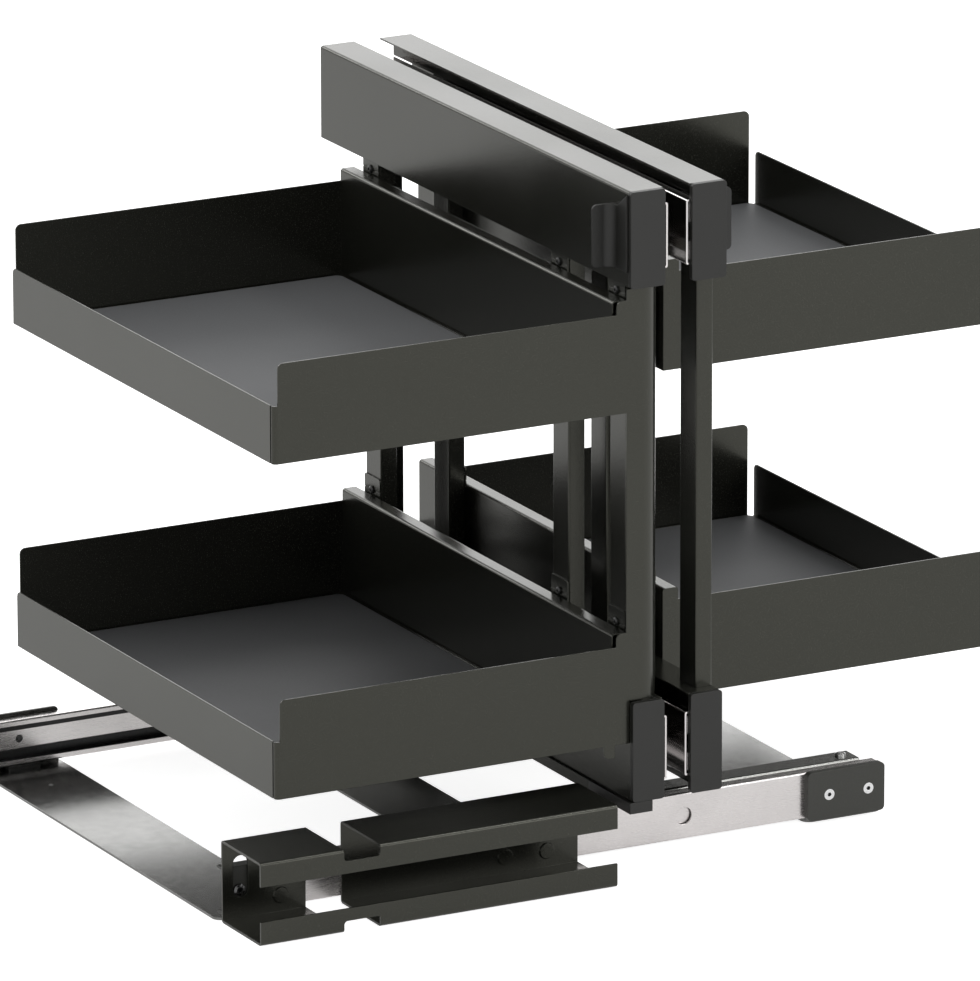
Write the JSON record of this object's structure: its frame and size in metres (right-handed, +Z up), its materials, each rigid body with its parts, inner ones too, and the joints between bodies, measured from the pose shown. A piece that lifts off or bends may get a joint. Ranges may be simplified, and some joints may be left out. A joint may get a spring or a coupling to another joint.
{
  "type": "blind corner pull out",
  "caption": "Corner cabinet pull out: tray frames on telescopic slides, carried by a carriage that runs sideways on floor rails.",
  "frame": {"origin": "middle of the outline seen from above, at floor level", "axes": "+X to the right along the floor rails, the way the carriage runs; +Y into the cabinet; +Z up"},
  "size_m": [0.7476, 0.5706, 0.5562],
  "materials": {
    "dark_sheet": "satin anthracite powder coat with a fine speckle",
    "dark_plastic": "matt moulded plastic",
    "cage_plastic": "dark ball cage",
    "slide_steel": "bright zinc plated steel",
    "strap_steel": "satin zinc plated steel",
    "screws": "bright plated screws",
    "dark_screws": "blackened screws",
    "tray_mat": "smooth grey mat"
  },
  "bodies": {
    "base": {"front_bracket": "dark_sheet", "left_strap": "strap_steel", "middle_strap": "strap_steel", "right_strap": "strap_steel", "front_rail": "slide_steel", "rear_rail": "slide_steel", "rail_end_caps": "dark_plastic", "base_screws": "screws"},
    "rail_cages": {"rail_ball_cages": "cage_plastic"},
    "rail_middles": {"front_rail_middle": "slide_steel", "rear_rail_middle": "slide_steel"},
    "carriage": {"front_rail_inner": "slide_steel", "rear_rail_inner": "slide_steel", "carriage_front_angle": "dark_sheet", "carriage_rear_angle": "dark_sheet", "carriage_near_bar": "dark_sheet", "carriage_bar_shoe": "dark_plastic", "carriage_centre_bar": "dark_sheet", "centre_front_post": "dark_sheet", "centre_rear_post": "dark_sheet", "carriage_screws": "screws", "near_top_slide_outer": "slide_steel", "near_bottom_slide_outer": "slide_steel", "far_top_slide_outer": "slide_steel", "far_bottom_slide_outer": "slide_steel"},
    "near_slide_middles": {"near_top_slide_middle": "slide_steel", "near_bottom_slide_middle": "slide_steel"},
    "far_slide_middles": {"far_top_slide_middle": "slide_steel", "far_bottom_slide_middle": "slide_steel"},
    "near_frame": {"near_slide_inners": "slide_steel", "near_head_channel": "dark_sheet", "near_sill_channel": "dark_sheet", "near_front_post": "dark_sheet", "near_middle_post": "dark_sheet", "near_back_post": "dark_sheet", "near_top_cover": "dark_sheet", "near_bottom_cover": "dark_sheet", "near_end_caps": "dark_plastic", "near_side_buffer": "dark_plastic", "near_upper_tray": "dark_sheet", "near_lower_tray": "dark_sheet", "near_tray_mats": "tray_mat", "near_tray_clips": "dark_sheet", "near_clip_screws": "dark_screws", "near_front_panel": "dark_sheet"},
    "far_frame": {"far_slide_inners": "slide_steel", "far_head_channel": "dark_sheet", "far_sill_channel": "dark_sheet", "far_front_post": "dark_sheet", "far_middle_post": "dark_sheet", "far_back_post": "dark_sheet", "far_top_cover": "dark_sheet", "far_bottom_cover": "dark_sheet", "far_end_caps": "dark_plastic", "far_side_buffer": "dark_plastic", "far_upper_tray": "dark_sheet", "far_lower_tray": "dark_sheet", "far_tray_mats": "tray_mat", "far_tray_clips": "dark_sheet", "far_clip_screws": "dark_screws"}
  },
  "joints": [
    {"name": "carriage_slide", "type": "slide", "parent": "base", "child": "carriage", "axis": [1, 0, 0], "range_m": [0, 0.31]},
    {"name": "rail_middle_slide", "type": "slide", "parent": "base", "child": "rail_middles", "axis": [1, 0, 0], "range_m": [0, 0.155]},
    {"name": "rail_cage_slide", "type": "slide", "parent": "base", "child": "rail_cages", "axis": [1, 0, 0], "range_m": [0, 0.0775]},
    {"name": "near_frame_slide", "type": "slide", "parent": "carriage", "child": "near_frame", "axis": [0, -1, 0], "range_m": [0, 0.45]},
    {"name": "near_middle_slide", "type": "slide", "parent": "carriage", "child": "near_slide_middles", "axis": [0, -1, 0], "range_m": [0, 0.225]},
    {"name": "far_frame_slide", "type": "slide", "parent": "carriage", "child": "far_frame", "axis": [0, -1, 0], "range_m": [0, 0.45]},
    {"name": "far_middle_slide", "type": "slide", "parent": "carriage", "child": "far_slide_middles", "axis": [0, -1, 0], "range_m": [0, 0.225]}
  ],
  "couplings": [
    {"joint": "rail_middle_slide", "follows": "carriage_slide", "ratio": 0.5},
    {"joint": "rail_cage_slide", "follows": "carriage_slide", "ratio": 0.25},
    {"joint": "near_middle_slide", "follows": "near_frame_slide", "ratio": 0.5},
    {"joint": "far_middle_slide", "follows": "far_frame_slide", "ratio": 0.5}
  ]
}
